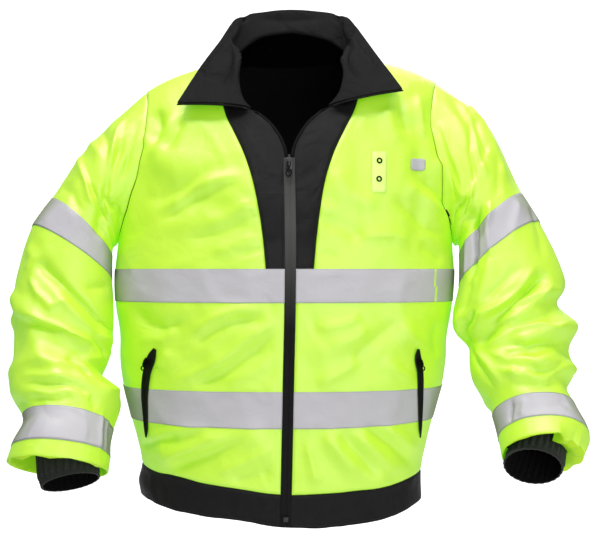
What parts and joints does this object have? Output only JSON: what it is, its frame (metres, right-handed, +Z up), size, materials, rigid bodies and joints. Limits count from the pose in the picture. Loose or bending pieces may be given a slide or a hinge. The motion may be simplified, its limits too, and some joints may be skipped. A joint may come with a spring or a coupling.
{
  "type": "work jacket",
  "caption": "Waist-length zipped high-visibility work jacket, filled out as worn, with reflective tapes, black stand collar, V-shaped yoke inserts, storm cuffs and hem band.",
  "frame": {"origin": "between the shoulders, where the wearer holds the jacket up", "axes": "+Z up, -Y the front with the zip, +X the wearer's left"},
  "size_m": [0.8859, 0.3523, 0.8218],
  "materials": {
    "hi_vis_cloth": "satin coated polyester, hi-vis lime yellow",
    "black_softshell": "matt black softshell",
    "reflective_tape": "silver glass-bead reflective tape",
    "black_knit": "black gathered stretch cuff",
    "zip_coil": "black coil zip and its coated tape",
    "dark_metal": "dark zinc alloy",
    "silver_label": "plain silver label"
  },
  "bodies": {
    "shell": {"back": "hi_vis_cloth", "chest_label": "silver_label", "collar": "black_softshell", "cuff_left": "black_knit", "cuff_right": "black_knit", "eyelet_lower": "dark_metal", "eyelet_upper": "dark_metal", "front_lower_left": "hi_vis_cloth", "front_lower_right": "hi_vis_cloth", "front_upper_left": "hi_vis_cloth", "front_upper_right": "hi_vis_cloth", "hem_back": "black_softshell", "hem_left": "black_softshell", "hem_right": "black_softshell", "insert_left": "black_softshell", "insert_right": "black_softshell", "mic_tab": "hi_vis_cloth", "pocket_left_slider": "dark_metal", "pocket_left_welt": "zip_coil", "pocket_right_slider": "dark_metal", "pocket_right_welt": "zip_coil", "sleeve_left": "hi_vis_cloth", "sleeve_right": "hi_vis_cloth", "tape_arm_left": "reflective_tape", "tape_arm_right": "reflective_tape", "tape_chest_back": "reflective_tape", "tape_chest_left": "reflective_tape", "tape_chest_right": "reflective_tape", "tape_waist_back": "reflective_tape", "tape_waist_left": "reflective_tape", "tape_waist_right": "reflective_tape", "tape_wrist_left": "reflective_tape", "tape_wrist_right": "reflective_tape", "zip_chain": "zip_coil", "zip_slider": "dark_metal", "zip_tape_left": "zip_coil", "zip_tape_right": "zip_coil"},
    "zip_pull": {"zip_pull": "dark_metal"},
    "pocket_left_pull": {"pocket_left_pull": "dark_metal"},
    "pocket_right_pull": {"pocket_right_pull": "dark_metal"}
  },
  "joints": [
    {"name": "zip_pull_hinge", "type": "hinge", "parent": "shell", "child": "zip_pull", "pos_m": [0.00288, -0.14291, -0.16931], "axis": [-0.9998, 0.0031, 0.0174], "range_deg": [0, 150]},
    {"name": "pocket_left_pull_hinge", "type": "hinge", "parent": "shell", "child": "pocket_left_pull", "pos_m": [0.20391, -0.11104, -0.47033], "axis": [-0.7766, -0.5303, -0.3401], "range_deg": [0, 150]},
    {"name": "pocket_right_pull_hinge", "type": "hinge", "parent": "shell", "child": "pocket_right_pull", "pos_m": [-0.21704, -0.11108, -0.47009], "axis": [-0.7723, 0.5179, 0.368], "range_deg": [0, 150]}
  ]
}
